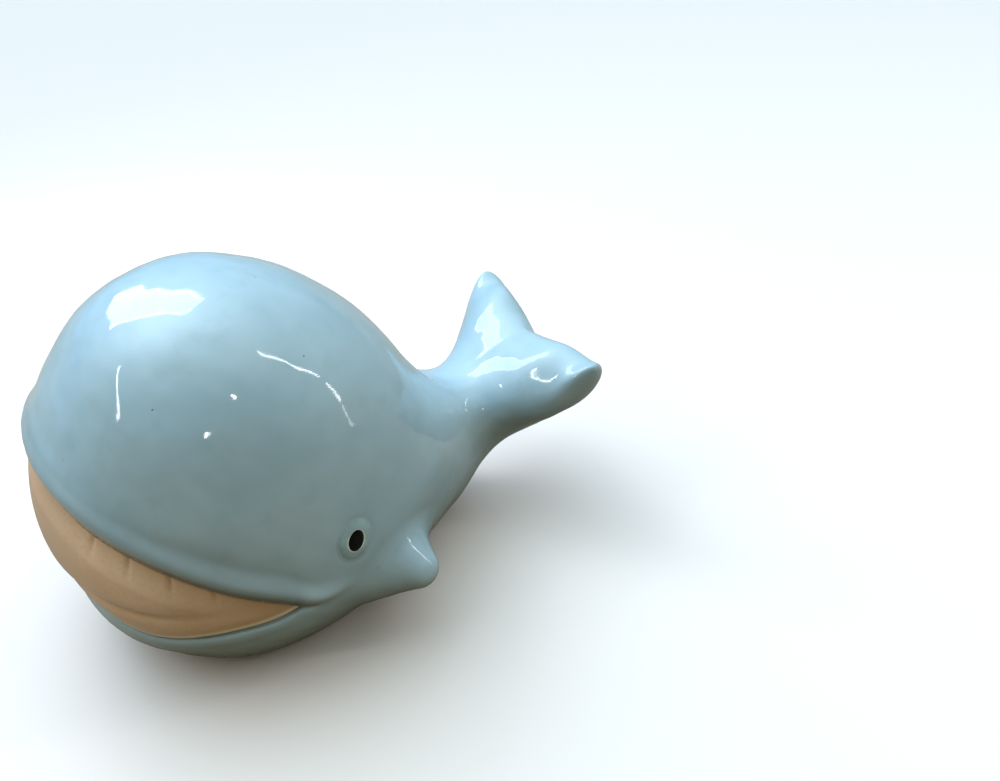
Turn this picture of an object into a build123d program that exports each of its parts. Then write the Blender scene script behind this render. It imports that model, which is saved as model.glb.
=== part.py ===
from build123d import *
from math import cos, radians, sin
import os

os.makedirs("parts", exist_ok=True)

# Whale figurine, slip-cast in glazed earthenware. Lengths in millimetres.
# The nose points to -Y, the whale's left is +X, and the foot stands on Z = 0.

# Body: a high blunt dome, cut flat at the foot
body_half_width = 45.2
body_height = 89.5
nose_reach = 46.0
rear_reach = 51.3
wall = 4.5

# Tail, measured from the middle of the dome
tail_reach = 91.9
tail_root_reach = 40.0
stock_half_width = 30.0
stock_height = 40.0
fluke_half_span = 29.6
fluke_height = 47.0
fluke_chord = 26.5
fluke_thickness = 12.0
fluke_tilt = 46.0

# Mouth and throat
corner_reach = 1.0
corner_height = 23.8
upper_lip_height = 56.5
lower_lip_height = 18.8
lip_step = 0.8
crease_height = 30.0
crease_width = 1.3
crease_depth = 1.0
pleat_count = 14
pleat_pitch = 10.5
pleat_width = 1.0
pleat_depth = 0.5

# Flipper
fin_root_depth = 13.6
fin_root_reach = 24.6
fin_root_height = 20.4
fin_root_half_length = 15.3
fin_root_half_height = 12.2
fin_tip_depth = 0.2
fin_tip_reach = 31.8
fin_tip_height = 19.6
fin_tip_radius = 4.2

# Eye
eye_reach = 15.9
eye_height = 37.4
eye_lean = 12.0
eye_cut_depth = 12.0
ring_width = 8.4
ring_length = 10.2
ring_rise = 0.7
pupil_width = 4.0
pupil_length = 5.6
pupil_rise = 1.0

# Foot
foot_recess = 0.8
floor_thickness = 4.5
vent_radius = 4.5

# How far a cutting shape passes the solid that it cuts
overrun = 5.0

# The middle of the dome lies so that the whole whale is centred on the origin
dome_y = (nose_reach - lip_step - tail_reach) / 2

# Level sections of the dome: height, nose, rear and side as shares of their sizes, and how far
# a section's curves run straight on before they turn, as a share of the same sizes
level_shares = [
    (0.000, 0.655, 0.684, 0.690, 0.587),
    (0.067, 0.795, 0.843, 0.827, 0.592),
    (0.160, 0.905, 0.935, 0.934, 0.600),
    (0.325, 0.968, 1.000, 0.996, 0.616),
    (0.450, 0.998, 0.990, 1.000, 0.621),
    (0.540, 0.981, 0.947, 0.987, 0.627),
    (0.640, 0.945, 0.879, 0.938, 0.632),
    (0.740, 0.869, 0.774, 0.850, 0.637),
    (0.830, 0.729, 0.630, 0.737, 0.643),
    (0.905, 0.565, 0.468, 0.597, 0.648),
    (0.960, 0.369, 0.277, 0.423, 0.651),
    (0.990, 0.172, 0.117, 0.237, 0.653),
    (1.000, 0.055, 0.040, 0.068, 0.653),
]


def dome(inset):
    """The body's outer form, drawn in by inset, or let out by a negative one."""
    least = level_shares[-1][1] * nose_reach
    with BuildPart() as form:
        for up, front, back, out, run in level_shares:
            nose = max(front * nose_reach - inset, least)
            rear = max(back * rear_reach - inset, least)
            side = max(out * body_half_width - inset, least)
            with BuildSketch(Plane.XY.offset(up * (body_height - inset))):
                with BuildLine():
                    Bezier(
                        (0, dome_y - nose),
                        (run * side, dome_y - nose),
                        (side, dome_y - run * nose),
                        (side, dome_y),
                    )
                    Bezier(
                        (side, dome_y),
                        (side, dome_y + run * rear),
                        (run * side, dome_y + rear),
                        (0, dome_y + rear),
                    )
                    mirror(about=Plane.YZ)
                make_face()
        loft()
    return form.part


outer_form = dome(0)
inner_form = dome(wall)

# Mouth field, seen from the side: a wedge from the front back to the corner of the lips
upper_lip_shares = [(1.00, 1.00), (0.82, 0.91), (0.62, 0.69), (0.40, 0.45), (0.19, 0.215)]
lower_lip_shares = [(0.20, 0.16), (0.60, 0.45), (1.00, 1.00)]
mouth_front = dome_y - nose_reach
mouth_corner = (dome_y + corner_reach, corner_height)
mouth_length = corner_reach + nose_reach
upper_rise = upper_lip_height - corner_height
lower_fall = corner_height - lower_lip_height
with BuildPart() as mouth_wedge:
    with BuildSketch(Plane.YZ):
        with BuildLine():
            upper_edge = Spline(
                *[
                    (mouth_corner[0] - along * mouth_length, corner_height + up * upper_rise)
                    for along, up in upper_lip_shares
                ],
                mouth_corner,
            )
            lower_edge = Spline(
                mouth_corner,
                *[
                    (mouth_corner[0] - along * mouth_length, corner_height - down * lower_fall)
                    for along, down in lower_lip_shares
                ],
            )
            Polyline(
                lower_edge @ 1,
                (mouth_front - overrun, lower_lip_height),
                (mouth_front - overrun, upper_lip_height),
                upper_edge @ 0,
            )
        make_face()
    extrude(amount=body_half_width + overrun, both=True)

# Body shell: the hollow wall, open where the throat and the foot close it
with BuildPart() as body_shell:
    add(outer_form)
    add(inner_form, mode=Mode.SUBTRACT)
    add(mouth_wedge.part, mode=Mode.SUBTRACT)
body_shell.part.label = "body_shell"

# Pleats: upright grooves round the pouch, above the crease
pleat_start = -90 - pleat_pitch * (pleat_count - 1) / 2
with BuildPart() as pleat_cuts:
    with BuildSketch(Plane.XY.offset(crease_height + crease_width)):
        with Locations((0, dome_y)):
            for place in range(pleat_count):
                with Locations(Rotation(0, 0, pleat_start + pleat_pitch * place)):
                    Rectangle(
                        body_half_width + nose_reach, pleat_width, align=(Align.MIN, Align.CENTER)
                    )
    extrude(amount=upper_lip_height)
    add(dome(lip_step + pleat_depth), mode=Mode.SUBTRACT)

# Crease: a level groove between the pouch and the lower roll
with BuildPart() as crease_cut:
    with BuildSketch(Plane.XY.offset(crease_height - crease_width / 2)):
        with Locations((0, dome_y)):
            Rectangle(2 * (body_half_width + overrun), 2 * (rear_reach + overrun))
    extrude(amount=crease_width)
    add(dome(lip_step + crease_depth), mode=Mode.SUBTRACT)

# Throat panel: fills the mouth field, a little below the lips
with BuildPart() as throat_panel:
    add(dome(lip_step))
    add(inner_form, mode=Mode.SUBTRACT)
    add(mouth_wedge.part, mode=Mode.INTERSECT)
    add(crease_cut.part, mode=Mode.SUBTRACT)
    add(pleat_cuts.part, mode=Mode.SUBTRACT)
throat_panel.part.label = "throat_panel"

# Tail stock: upright ovals, from inside the body back to the flukes.
# Each row: distance back, middle height, half width and half height, as shares.
stock_shares = [
    (0.000, 0.576, 0.861, 0.493),
    (0.126, 0.546, 0.793, 0.496),
    (0.263, 0.523, 0.644, 0.491),
    (0.378, 0.546, 0.521, 0.425),
    (0.473, 0.600, 0.440, 0.359),
    (0.652, 0.724, 0.396, 0.256),
    (0.788, 0.835, 0.473, 0.199),
    (0.883, 0.970, 0.275, 0.103),
]
# Flukes: tilted ovals, from the notch out to the tip.
# Each row: distance out, trailing edge back, chord, height and thickness, as shares.
fluke_shares = [
    (0.00, 0.915, 1.003, 0.695, 0.800),
    (0.28, 0.946, 0.975, 0.779, 0.902),
    (0.52, 0.969, 0.886, 0.860, 0.905),
    (0.76, 0.992, 0.700, 0.889, 0.869),
    (0.91, 1.000, 0.460, 0.949, 0.816),
    (1.00, 0.996, 0.232, 1.052, 0.563),
]
stock_length = tail_reach - tail_root_reach
tail_ovals = []
for back, up, wide, high in stock_shares:
    place = Plane(
        origin=(0, dome_y + tail_root_reach + back * stock_length, up * stock_height),
        x_dir=(1, 0, 0),
        z_dir=(0, 1, 0),
    )
    tail_ovals.append((place, wide * stock_half_width, high * stock_height))


def fluke_ovals(side):
    """The ovals of one lobe, on the left for side 1 and on the right for side -1."""
    ovals = []
    for out, back, chord, up, thick in fluke_shares:
        half_chord = chord * fluke_chord / 2
        middle = dome_y + back * tail_reach - half_chord * cos(radians(fluke_tilt))
        place = Plane(
            origin=(side * out * fluke_half_span, middle, up * fluke_height),
            x_dir=(0, cos(radians(fluke_tilt)), sin(radians(fluke_tilt))),
            z_dir=(1, 0, 0),
        )
        ovals.append((place, half_chord, thick * fluke_thickness / 2))
    return ovals


with BuildPart() as tail_flukes:
    for ovals in (tail_ovals, fluke_ovals(1), fluke_ovals(-1)):
        for place, half_length, half_height in ovals:
            with BuildSketch(place):
                Ellipse(half_length, half_height)
        loft()
    split(bisect_by=Plane.XY)
    add(outer_form, mode=Mode.SUBTRACT)
tail_flukes.part.label = "tail_flukes"

# Flippers: short cones, swept back
def flipper(side):
    """The flipper on the left for side 1 and on the right for side -1."""
    root_side = side * (body_half_width - fin_root_depth)
    tip_side = side * (body_half_width - fin_tip_depth)
    root = Vector(root_side, dome_y + fin_root_reach, fin_root_height)
    tip = Vector(tip_side, dome_y + fin_tip_reach, fin_tip_height)
    aim = (tip - root).normalized()
    with BuildPart() as fin:
        with BuildSketch(Plane(origin=root, x_dir=(0, 0, 1), z_dir=aim)):
            Ellipse(fin_root_half_height, fin_root_half_length)
        with BuildSketch(Plane(origin=tip, x_dir=(0, 0, 1), z_dir=aim)):
            Circle(fin_tip_radius)
        loft()
        add(outer_form, mode=Mode.SUBTRACT)
    return fin


left_fin = flipper(1)
left_fin.part.label = "left_fin"
right_fin = flipper(-1)
right_fin.part.label = "right_fin"

# Eyes: an upright oval ring on the cheek, with the enamel dot in it
def eye_plane(side):
    """The plane under one eye's surface, facing out of the cheek."""
    depth = side * (body_half_width - eye_cut_depth)
    return Plane(
        origin=(depth, dome_y + eye_reach, eye_height), x_dir=(0, 1, 0), z_dir=(side, 0, 0)
    )


def eye_dot(side):
    """The enamel dot on the left for side 1 and on the right for side -1."""
    with BuildPart() as dot:
        with BuildSketch(eye_plane(side)):
            Ellipse(pupil_width / 2, pupil_length / 2, rotation=side * eye_lean)
        extrude(amount=eye_cut_depth + overrun)
        add(dome(-pupil_rise), mode=Mode.INTERSECT)
        add(outer_form, mode=Mode.SUBTRACT)
    return dot


def eye_ring(side):
    """The raised ring round the dot."""
    with BuildPart() as ring:
        with BuildSketch(eye_plane(side)):
            Ellipse(ring_width / 2, ring_length / 2, rotation=side * eye_lean)
            Ellipse(
                pupil_width / 2, pupil_length / 2, rotation=side * eye_lean, mode=Mode.SUBTRACT
            )
        extrude(amount=eye_cut_depth + overrun)
        add(dome(-ring_rise), mode=Mode.INTERSECT)
        add(outer_form, mode=Mode.SUBTRACT)
    return ring


left_pupil = eye_dot(1)
left_pupil.part.label = "left_pupil"
right_pupil = eye_dot(-1)
right_pupil.part.label = "right_pupil"
left_eye_ring = eye_ring(1)
left_eye_ring.part.label = "left_eye_ring"
right_eye_ring = eye_ring(-1)
right_eye_ring.part.label = "right_eye_ring"

# Foot base: the bare clay floor inside the wall, recessed, with the vent hole
with BuildPart() as foot_base:
    with BuildSketch(Plane.XY.offset(foot_recess)):
        with Locations((0, dome_y)):
            Rectangle(2 * body_half_width, 2 * rear_reach)
    extrude(amount=floor_thickness)
    add(inner_form, mode=Mode.INTERSECT)
    with Locations((0, dome_y, foot_recess + floor_thickness)):
        Hole(vent_radius)
foot_base.part.label = "foot_base"

for piece in (
    body_shell,
    throat_panel,
    tail_flukes,
    left_fin,
    right_fin,
    left_eye_ring,
    right_eye_ring,
    left_pupil,
    right_pupil,
    foot_base,
):
    box = piece.part.bounding_box()
    print(piece.part.label, round(piece.part.volume), box.min, box.max)
    export_step(piece.part, f"parts/{piece.part.label}.step")
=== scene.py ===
# %% [markdown]
# # A glazed whale
# This lesson dresses a small slip-cast whale. The real one is earthenware: liquid clay was poured
# in a plaster mould, the hollow cast was taken out, tail and flippers were sponged smooth where
# they join, and a light blue glaze was fired over it, with a cream glaze on the throat. The
# construction comes in as a fixed frame, and every piece here is made around it.

# %% The frame
import math

import bmesh
import bpy
import numpy as np
from mathutils import Matrix, Quaternion, Vector


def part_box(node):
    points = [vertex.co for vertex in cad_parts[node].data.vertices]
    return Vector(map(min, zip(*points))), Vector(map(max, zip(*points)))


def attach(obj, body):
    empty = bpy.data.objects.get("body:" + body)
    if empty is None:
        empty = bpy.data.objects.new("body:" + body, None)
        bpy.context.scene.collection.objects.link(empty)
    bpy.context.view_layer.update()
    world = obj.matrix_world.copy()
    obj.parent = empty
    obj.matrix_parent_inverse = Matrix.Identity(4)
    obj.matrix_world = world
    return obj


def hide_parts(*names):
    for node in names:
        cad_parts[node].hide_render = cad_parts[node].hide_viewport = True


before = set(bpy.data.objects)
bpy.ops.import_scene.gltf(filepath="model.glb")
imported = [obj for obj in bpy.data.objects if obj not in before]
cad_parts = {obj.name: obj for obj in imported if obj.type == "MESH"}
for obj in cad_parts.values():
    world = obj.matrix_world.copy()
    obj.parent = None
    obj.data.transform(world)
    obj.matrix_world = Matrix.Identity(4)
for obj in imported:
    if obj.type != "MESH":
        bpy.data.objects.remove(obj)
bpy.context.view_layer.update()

MM = 0.001
tiny = 1e-6
print("nodes in the frame:", sorted(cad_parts))


def node_box(node):
    """A node's lowest and highest corners in millimetres."""
    return [np.array(corner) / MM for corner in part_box(node)]


# %% [markdown]
# ## One rule for the whole outside
# A cast pot has no seams on its outside: the body, the tail and the flippers flow into each other
# under one skin of glaze. Subdivision surfaces could give that, but every joint would need its own
# careful topology. A distance rule is simpler: one function says how far any point lies from the
# surface, and joints become soft unions of such functions. A mesh is then drawn where the function
# is zero.

# %% Curves through a few stations
def spline(stations, values):
    """A natural cubic curve through given stations, as a function of an array."""
    x, y = np.asarray(stations, float), np.asarray(values, float)
    gap = np.diff(x)
    count = len(x)
    matrix, right = np.eye(count), np.zeros(count)
    for i in range(1, count - 1):
        matrix[i, i - 1 : i + 2] = gap[i - 1] / 6, (gap[i - 1] + gap[i]) / 3, gap[i] / 6
        right[i] = (y[i + 1] - y[i]) / gap[i] - (y[i] - y[i - 1]) / gap[i - 1]
    bend = np.linalg.solve(matrix, right)

    def at(t):
        t = np.clip(t, x[0], x[-1])
        i = np.clip(np.searchsorted(x, t) - 1, 0, count - 2)
        a = (x[i + 1] - t) / gap[i]
        b = 1 - a
        curve = ((a**3 - a) * bend[i] + (b**3 - b) * bend[i + 1]) * gap[i] ** 2 / 6
        return a * y[i] + b * y[i + 1] + curve

    return at


def soft_union(a, b, blend):
    """The nearer of two distances, with a fillet about as wide as blend where they meet."""
    near = np.maximum(blend - np.abs(a - b), 0) / blend
    return np.minimum(a, b) - near * near * blend / 4


def soft_cut(a, b, blend):
    """The part that both shapes share, with its edge rounded."""
    return -soft_union(-a, -b, blend)


def fade(t, start, end):
    """One before start, zero past end, and smooth between them."""
    s = np.clip((t - start) / (end - start), 0, 1)
    return 1 - s * s * (3 - 2 * s)


def hump(t, middle, width):
    """A smooth bump, one high, about twice width across."""
    return np.exp(-(((t - middle) / width) ** 2))


def oval(a, b, half_a, half_b):
    """Distance from an oval with these half axes, near enough to true by its edge."""
    first = np.hypot(a / half_a, b / half_b)
    second = np.hypot(a / half_a**2, b / half_b**2)
    return first * (first - 1) / np.maximum(second, tiny)


# %% [markdown]
# ## The head and body
# The body is a blunt dome. Its side view is a closed curve, given here as a radius for each
# direction round a centre. Across, it is a slightly squared circle. So one radius curve and one
# squareness give the whole dome, and the sizes come from the frame.

# %% Dome
body_high = node_box("body_shell")[1]
dome_y = -23.35
dome_z = 29.3
half_width = body_high[0]
height = body_high[2]
nose_reach = 45.0
rear_reach = 51.5
hidden_radius = 39.5

# Height, nose and rear of the side view, as shares of their sizes
side_view_shares = [
    (0.000, 0.655, 0.675),
    (0.067, 0.788, 0.842),
    (0.160, 0.903, 0.940),
    (0.325, 0.967, 1.010),
    (0.450, 0.994, 1.005),
    (0.540, 0.973, 0.962),
    (0.640, 0.932, 0.881),
    (0.740, 0.853, 0.770),
    (0.830, 0.720, 0.627),
    (0.905, 0.575, 0.470),
    (0.960, 0.391, 0.288),
    (0.990, 0.197, 0.139),
]


def side_view_radius():
    """Radius round the dome's centre by direction: 0 forwards, 90 degrees up, 180 back."""
    rows = [(-math.pi / 2, hidden_radius), (3 * math.pi / 2, hidden_radius)]
    for up, nose, rear in side_view_shares:
        rise = up * height - dome_z
        for ahead in (nose * nose_reach, -rear * rear_reach):
            turn = math.atan2(rise, ahead)
            if turn < -math.pi / 2:
                turn += 2 * math.pi
            rows.append((turn, math.hypot(rise, ahead)))
    rows.append((math.pi / 2, height - dome_z))
    rows.sort()
    return spline(*zip(*rows))


radius_at = side_view_radius()
squareness, squarer_up = 2.21, 0.12


def dome(p):
    """Distance in mm from the plain dome, negative inside."""
    x, y, z = p[:, 0], p[:, 1] - dome_y, p[:, 2] - dome_z
    flat = np.hypot(y, z)
    turn = np.arctan2(z, -y)
    turn = np.where(turn < -math.pi / 2, turn + 2 * math.pi, turn)
    power = squareness + squarer_up * np.sin(turn)
    share = (np.abs(x) / half_width) ** power + (flat / radius_at(turn)) ** power
    return np.hypot(x, flat) * (1 - share ** (-1 / power))


print("dome", round(2 * half_width, 1), "mm wide and", round(height, 1), "mm high")

# %% [markdown]
# ## Lips
# The mouth line runs from the front back and down to a corner on each cheek. Above it the clay
# swells into a rounded lip as wide as a finger's edge, with a faint trough above it, and it curls
# under where it meets the throat. Below, the jaw has a small roll. Both are added to the dome as
# humps across the distance from the line, so they fade out past the corner with no edge.

# %% Lip lines
corner_reach, corner_z = 1.0, 24.7
mouth_length = corner_reach + nose_reach
upper_rise, lower_fall = 31.6, 3.4
upper_lip_shares = [
    (1.00, 1.000), (0.91, 0.965), (0.82, 0.870), (0.63, 0.670), (0.40, 0.420), (0.20, 0.215),
    (0.07, 0.080),
]
lower_lip_shares = [
    (1.00, -0.18), (0.91, 0.05), (0.84, 0.53), (0.75, 0.96), (0.62, 0.97), (0.45, 0.63),
    (0.28, 0.43), (0.13, 0.36), (0.05, 0.20),
]
past_corner = 15.0
past_corner_fall = 1.8


def lip_line(shares, rise, end_z):
    """Height of a lip by its place along the whale, measured back from the dome's middle."""
    rows = [(corner_reach - along * mouth_length, corner_z + up * rise) for along, up in shares]
    rows += [(corner_reach, corner_z), (corner_reach + past_corner, end_z)]
    return spline(*zip(*rows))


upper_lip = lip_line(upper_lip_shares, upper_rise, corner_z - past_corner_fall)
lower_lip = lip_line(lower_lip_shares, -lower_fall, corner_z + past_corner_fall)


def lip_distance(p, line):
    """How far a point of the surface lies above a lip line, in mm along the surface."""
    x, y = p[:, 0], p[:, 1] - dome_y
    sideways = np.abs(x) / np.maximum(np.hypot(x, y), tiny)
    steep = (line(y + 0.5) - line(y - 0.5)) * sideways
    return (p[:, 2] - line(y)) / np.sqrt(1 + steep * steep)


# How far a swell stands out, how far from its lip line it lies, how wide it is, and where it fades
# out, measured back from the mouth's corner. A negative height is a trough or a curled edge.
trough_up = 8.0
upper_swells = [
    (0.95, 3.3, 2.3, 3, 15),
    (-0.28, trough_up, 2.4, -6, 10),
    (-0.45, 0, 0.9, -1, 5),
    (1.5, 6.2, 3.9, -42, -18),
]
lower_swells = [
    (0.30, 2.4, 2.2, -12, 4),
    (-0.35, 0, 0.7, -3, 1),
    (0.7, 6.4, 3.2, -40, -16),
]


def lips(p):
    """How far the lips stand out of the dome."""
    back = p[:, 1] - dome_y - corner_reach
    total = np.zeros(len(p))
    for line, side, swells in ((upper_lip, 1, upper_swells), (lower_lip, -1, lower_swells)):
        away = side * lip_distance(p, line)
        for out, middle, width, start, end in swells:
            total += out * hump(away, middle, width) * fade(back, start, end)
    return total


# %% [markdown]
# ## Tail
# The tail stock is a row of upright ovals, and each lobe of the flukes is a row of tilted ovals
# from the notch out to the tip. A loft could do the same, but its skin would have to be trimmed
# and filleted by hand. The tables give the ovals as shares of a few real sizes. Using the distance
# to the middle plane without its sign makes both lobes at once and leaves the sharp notch between
# them.

# %% Tail
tail_reach, tail_root_reach = 91.9, 40.0
stock_half_width, stock_height = 30.0, 40.0
fluke_half_span, fluke_height = 29.6, 47.0
fluke_chord, fluke_thickness, fluke_tilt = 26.5, 12.0, math.radians(46)

# Distance back, middle height, half width and half height
stock_shares = [
    (0.000, 0.576, 0.861, 0.493),
    (0.126, 0.546, 0.793, 0.496),
    (0.263, 0.523, 0.644, 0.491),
    (0.378, 0.546, 0.521, 0.425),
    (0.473, 0.600, 0.440, 0.359),
    (0.652, 0.724, 0.396, 0.256),
    (0.788, 0.835, 0.473, 0.199),
    (0.883, 0.970, 0.275, 0.103),
]
# Distance out, trailing edge back, chord, height and thickness
fluke_shares = [
    (0.00, 0.915, 1.003, 0.695, 0.800),
    (0.28, 0.946, 0.975, 0.779, 0.902),
    (0.52, 0.969, 0.886, 0.860, 0.905),
    (0.76, 0.992, 0.700, 0.889, 0.869),
    (0.91, 1.000, 0.460, 0.949, 0.816),
    (1.00, 0.996, 0.232, 1.052, 0.563),
]


def columns(shares):
    """A curve for each column of a table, over the table's first column."""
    first, *others = zip(*shares)
    return [spline(first, column) for column in others]


stock_rows, fluke_rows = columns(stock_shares), columns(fluke_shares)
notch_softness = 0.35
tip_rounding, stock_end_rounding, fluke_blend = 4.8, 4.0, 15.7
stock_middle_share = 0.3


def stock(p):
    """Distance from the tail stock."""
    length = tail_reach - tail_root_reach
    back = (p[:, 1] - dome_y - tail_root_reach) / length
    middle, wide, high = (row(back) for row in stock_rows)
    upright = oval(
        p[:, 0], p[:, 2] - middle * stock_height, wide * stock_half_width, high * stock_height
    )
    ends = np.abs(back - stock_middle_share) - (stock_shares[-1][0] - stock_middle_share)
    return soft_cut(upright, ends * length, stock_end_rounding)


def flukes(p):
    """Distance from the two lobes."""
    out = np.sqrt(p[:, 0] ** 2 + notch_softness**2) - notch_softness
    edge, chord, up, thick = (row(out / fluke_half_span) for row in fluke_rows)
    half_chord = chord * fluke_chord / 2
    middle = dome_y + edge * tail_reach - half_chord * math.cos(fluke_tilt)
    y, z = p[:, 1] - middle, p[:, 2] - up * fluke_height
    along = y * math.cos(fluke_tilt) + z * math.sin(fluke_tilt)
    across = z * math.cos(fluke_tilt) - y * math.sin(fluke_tilt)
    lobe = oval(along, across, half_chord, thick * fluke_thickness / 2)
    return soft_cut(lobe, out - fluke_half_span, tip_rounding)


def tail(p):
    """Distance from the stock and its lobes."""
    return soft_union(stock(p), flukes(p), fluke_blend)


# %% [markdown]
# ## Flippers
# Each flipper is a short swept cone with a round tip, a little longer than it is high at the root.
# Two balls and the cone that touches both give the distance exactly, so the shape needs no table.
# Both flippers come at once from the point's distance to the middle plane.

# %% Flippers
fin_root = np.array([half_width - 13.6, dome_y + 24.6, 20.4])
fin_tip = np.array([half_width - 3.0, dome_y + 30.3, 19.8])
fin_root_radius, fin_tip_radius = 12.2, 5.3
fin_root_longer = 0.24


def fins(p):
    """Distance from the pair of flippers, each a cone with a round tip."""
    aim = fin_tip - fin_root
    length = np.linalg.norm(aim)
    aim = aim / length
    side = np.cross(aim, (0, 0, 1))
    side = side / np.linalg.norm(side)
    q = np.abs(p) * (1, 0, 0) + p * (0, 1, 1) - fin_root
    along = q @ aim
    longer = 1 + fin_root_longer * (1 - np.clip(along / length, 0, 1))
    out = np.hypot((q @ side) / longer, q @ np.cross(side, aim))
    taper = (fin_root_radius - fin_tip_radius) / length
    straight = math.sqrt(1 - taper * taper)
    flank = out * straight + along * taper - fin_root_radius
    reach = along * straight - out * taper
    tip = np.hypot(along - length, out) - fin_tip_radius
    root = np.hypot(along, out) - fin_root_radius
    return np.where(reach > length * straight, tip, np.where(reach < 0, root, flank))


print("tail and flipper rules ready")

# %% [markdown]
# ## The whole rule
# The foot is a level cut. The glaze lies a little unevenly, so the surface has slow waves of a
# tenth of a millimetre and finer ones of a few hundredths: they are what makes the edge of a
# reflection wander. They are sums of sine waves in random directions with a fixed seed.

# %% Whale
eye_y, eye_z = dome_y + 15.9, 37.4
eye_lean = math.radians(12)
ring_size = np.array([8.4, 10.2])
pupil_size = np.array([4.0, 5.6])
fin_blend, foot_rounding = 3.0, 2.6
# Height, and the width of the fillet between body and tail there
tail_fillets = [(0.0, 10.0), (20.0, 10.5), (32.0, 14.5), (38.5, 16.0), (45.0, 16.0)]
# On top of the tail's root the fillet is small: round this place, and above these heights
top_fillet, top_middle = 3.0, -9.0
top_half_width, top_fades, far_stretch = 2.0, 16.0, 2.6
top_starts, top_full = 34.0, 41.0
wave_seed = 11
slow_waves, fine_waves = (16.0, 34.0, 0.075), (3.5, 8.0, 0.018)
foot_calm = (1.0, 6.0)


def waves(shortest, longest, depth, count=14):
    """A field of gentle waves: directions, phases and lengths between two limits."""
    draw = np.random.default_rng(wave_seed + count)
    aims = draw.normal(size=(count, 3))
    lengths = draw.uniform(shortest, longest, count)
    aims *= (2 * math.pi / lengths / np.linalg.norm(aims, axis=1))[:, None]
    phases = draw.uniform(0, 2 * math.pi, count)
    return lambda p: depth * np.sin(p @ aims.T + phases).sum(axis=1) / math.sqrt(count / 2)


slow, fine = waves(*slow_waves), waves(*fine_waves, count=20)


def eye_oval(p, size):
    """How far out a point lies in an eye's oval of this size: one at its edge."""
    y, z = p[:, 1] - eye_y, p[:, 2] - eye_z
    along = y * math.sin(eye_lean) + z * math.cos(eye_lean)
    across = y * math.cos(eye_lean) - z * math.sin(eye_lean)
    return np.hypot(across / (size[0] / 2), along / (size[1] / 2))


moat_depth, moat_at, moat_width = 0.12, 1.06, 0.16
fillet_at = spline(*zip(*tail_fillets))


def moat(p):
    """The shallow groove round each eye, where the raised ring meets the cheek."""
    beside = np.clip(np.abs(p[:, 0]) - half_width / 2, 0, 1)
    return moat_depth * hump(eye_oval(p, ring_size), moat_at, moat_width) * beside


def bare_whale(p):
    """The clay before the glaze's waves."""
    body = dome(p) - lips(p) + moat(p)
    body = soft_union(body, fins(p), fin_blend)
    wide = fillet_at(p[:, 2])
    across = p[:, 0] - top_middle
    across = np.where(across < 0, -across / far_stretch, across)
    on_top = fade(across, top_half_width, top_fades)
    on_top *= 1 - fade(p[:, 2], top_starts, top_full)
    body = soft_union(body, tail(p), wide + (top_fillet - wide) * on_top)
    return soft_cut(body, -p[:, 2], foot_rounding)


def whale(p):
    """The glazed outside. The foot has no waves."""
    above_foot = 1 - fade(p[:, 2], *foot_calm)
    return bare_whale(p) - (slow(p) + fine(p)) * above_foot


# %% [markdown]
# ## From the rule to a mesh
# A surface net puts one point in each small cube that the surface crosses and joins neighbours
# with quads. Each point then slides down the rule's slope until it lies on the surface. One
# subdivision and another slide give even quads of about two thirds of a millimetre.

# %% Surface net
net_step = 1.3
margin = 4.0


def slope(rule, p, reach=0.02):
    """The rule's gradient, which points straight out of the surface."""
    columns = [rule(p + axis * reach) - rule(p - axis * reach) for axis in np.eye(3)]
    return np.stack(columns, axis=1) / (2 * reach)


def settle(rule, p, rounds=3, longest=1.5, least=0.04):
    """Slides points onto the rule's surface."""
    for _ in range(rounds):
        down = slope(rule, p)
        size = np.maximum((down * down).sum(axis=1), least)
        step = (rule(p) / size)[:, None] * down
        far = np.linalg.norm(step, axis=1, keepdims=True)
        p = p - step * np.minimum(1, longest / np.maximum(far, tiny))
    return p


def surface_net(rule, low, high, step):
    """Points and quads of a closed mesh round everything inside the rule."""
    axes = [np.arange(a, b + step, step) for a, b in zip(low, high)]
    axes[0] = np.arange(-round(high[0] / step) - 0.5, high[0] / step + 1) * step
    grid = np.stack(np.meshgrid(*axes, indexing="ij"), axis=-1)
    inside = (rule(grid.reshape(-1, 3)) < 0).reshape(grid.shape[:3])
    a, b, c = np.array(inside.shape) - 1
    corners = np.zeros((a, b, c), int)
    for i, j, k in np.ndindex(2, 2, 2):
        corners += inside[i : a + i, j : b + j, k : c + k]
    crossed = (corners > 0) & (corners < 8)
    number = np.full(corners.shape, -1)
    number[crossed] = np.arange(crossed.sum())
    points = grid[:-1, :-1, :-1][crossed] + step / 2
    quads = []
    for axis in range(3):
        u, v = (axis + 1) % 3, (axis + 2) % 3
        ahead = np.roll(inside, -1, axis)
        place = np.argwhere(inside != ahead)
        leaving = inside[tuple(place.T)]
        cells = np.zeros((4, 3), int)
        cells[:, [u, v]] = (0, 0), (-1, 0), (-1, -1), (0, -1)
        ring = np.stack([number[tuple((place + cell).T)] for cell in cells], axis=1)
        ring[~leaving] = ring[~leaving][:, ::-1]
        quads.append(ring)
    return points, np.concatenate(quads)


def relax(points, quads, rounds=2):
    """Moves each point to the middle of its neighbours, to even out the quads."""
    for _ in range(rounds):
        total, count = np.zeros_like(points), np.zeros(len(points))
        for a in range(4):
            for b in (quads[:, (a + 1) % 4], quads[:, (a + 3) % 4]):
                np.add.at(total, quads[:, a], points[b])
                np.add.at(count, quads[:, a], 1)
        points = settle(whale, total / count[:, None], rounds=1)
    return points


def new_mesh(name, points, faces):
    """A mesh from points in millimetres."""
    mesh = bpy.data.meshes.new(name)
    mesh.from_pydata((np.asarray(points) * MM).tolist(), [], np.asarray(faces).tolist())
    mesh.update()
    return mesh


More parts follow.
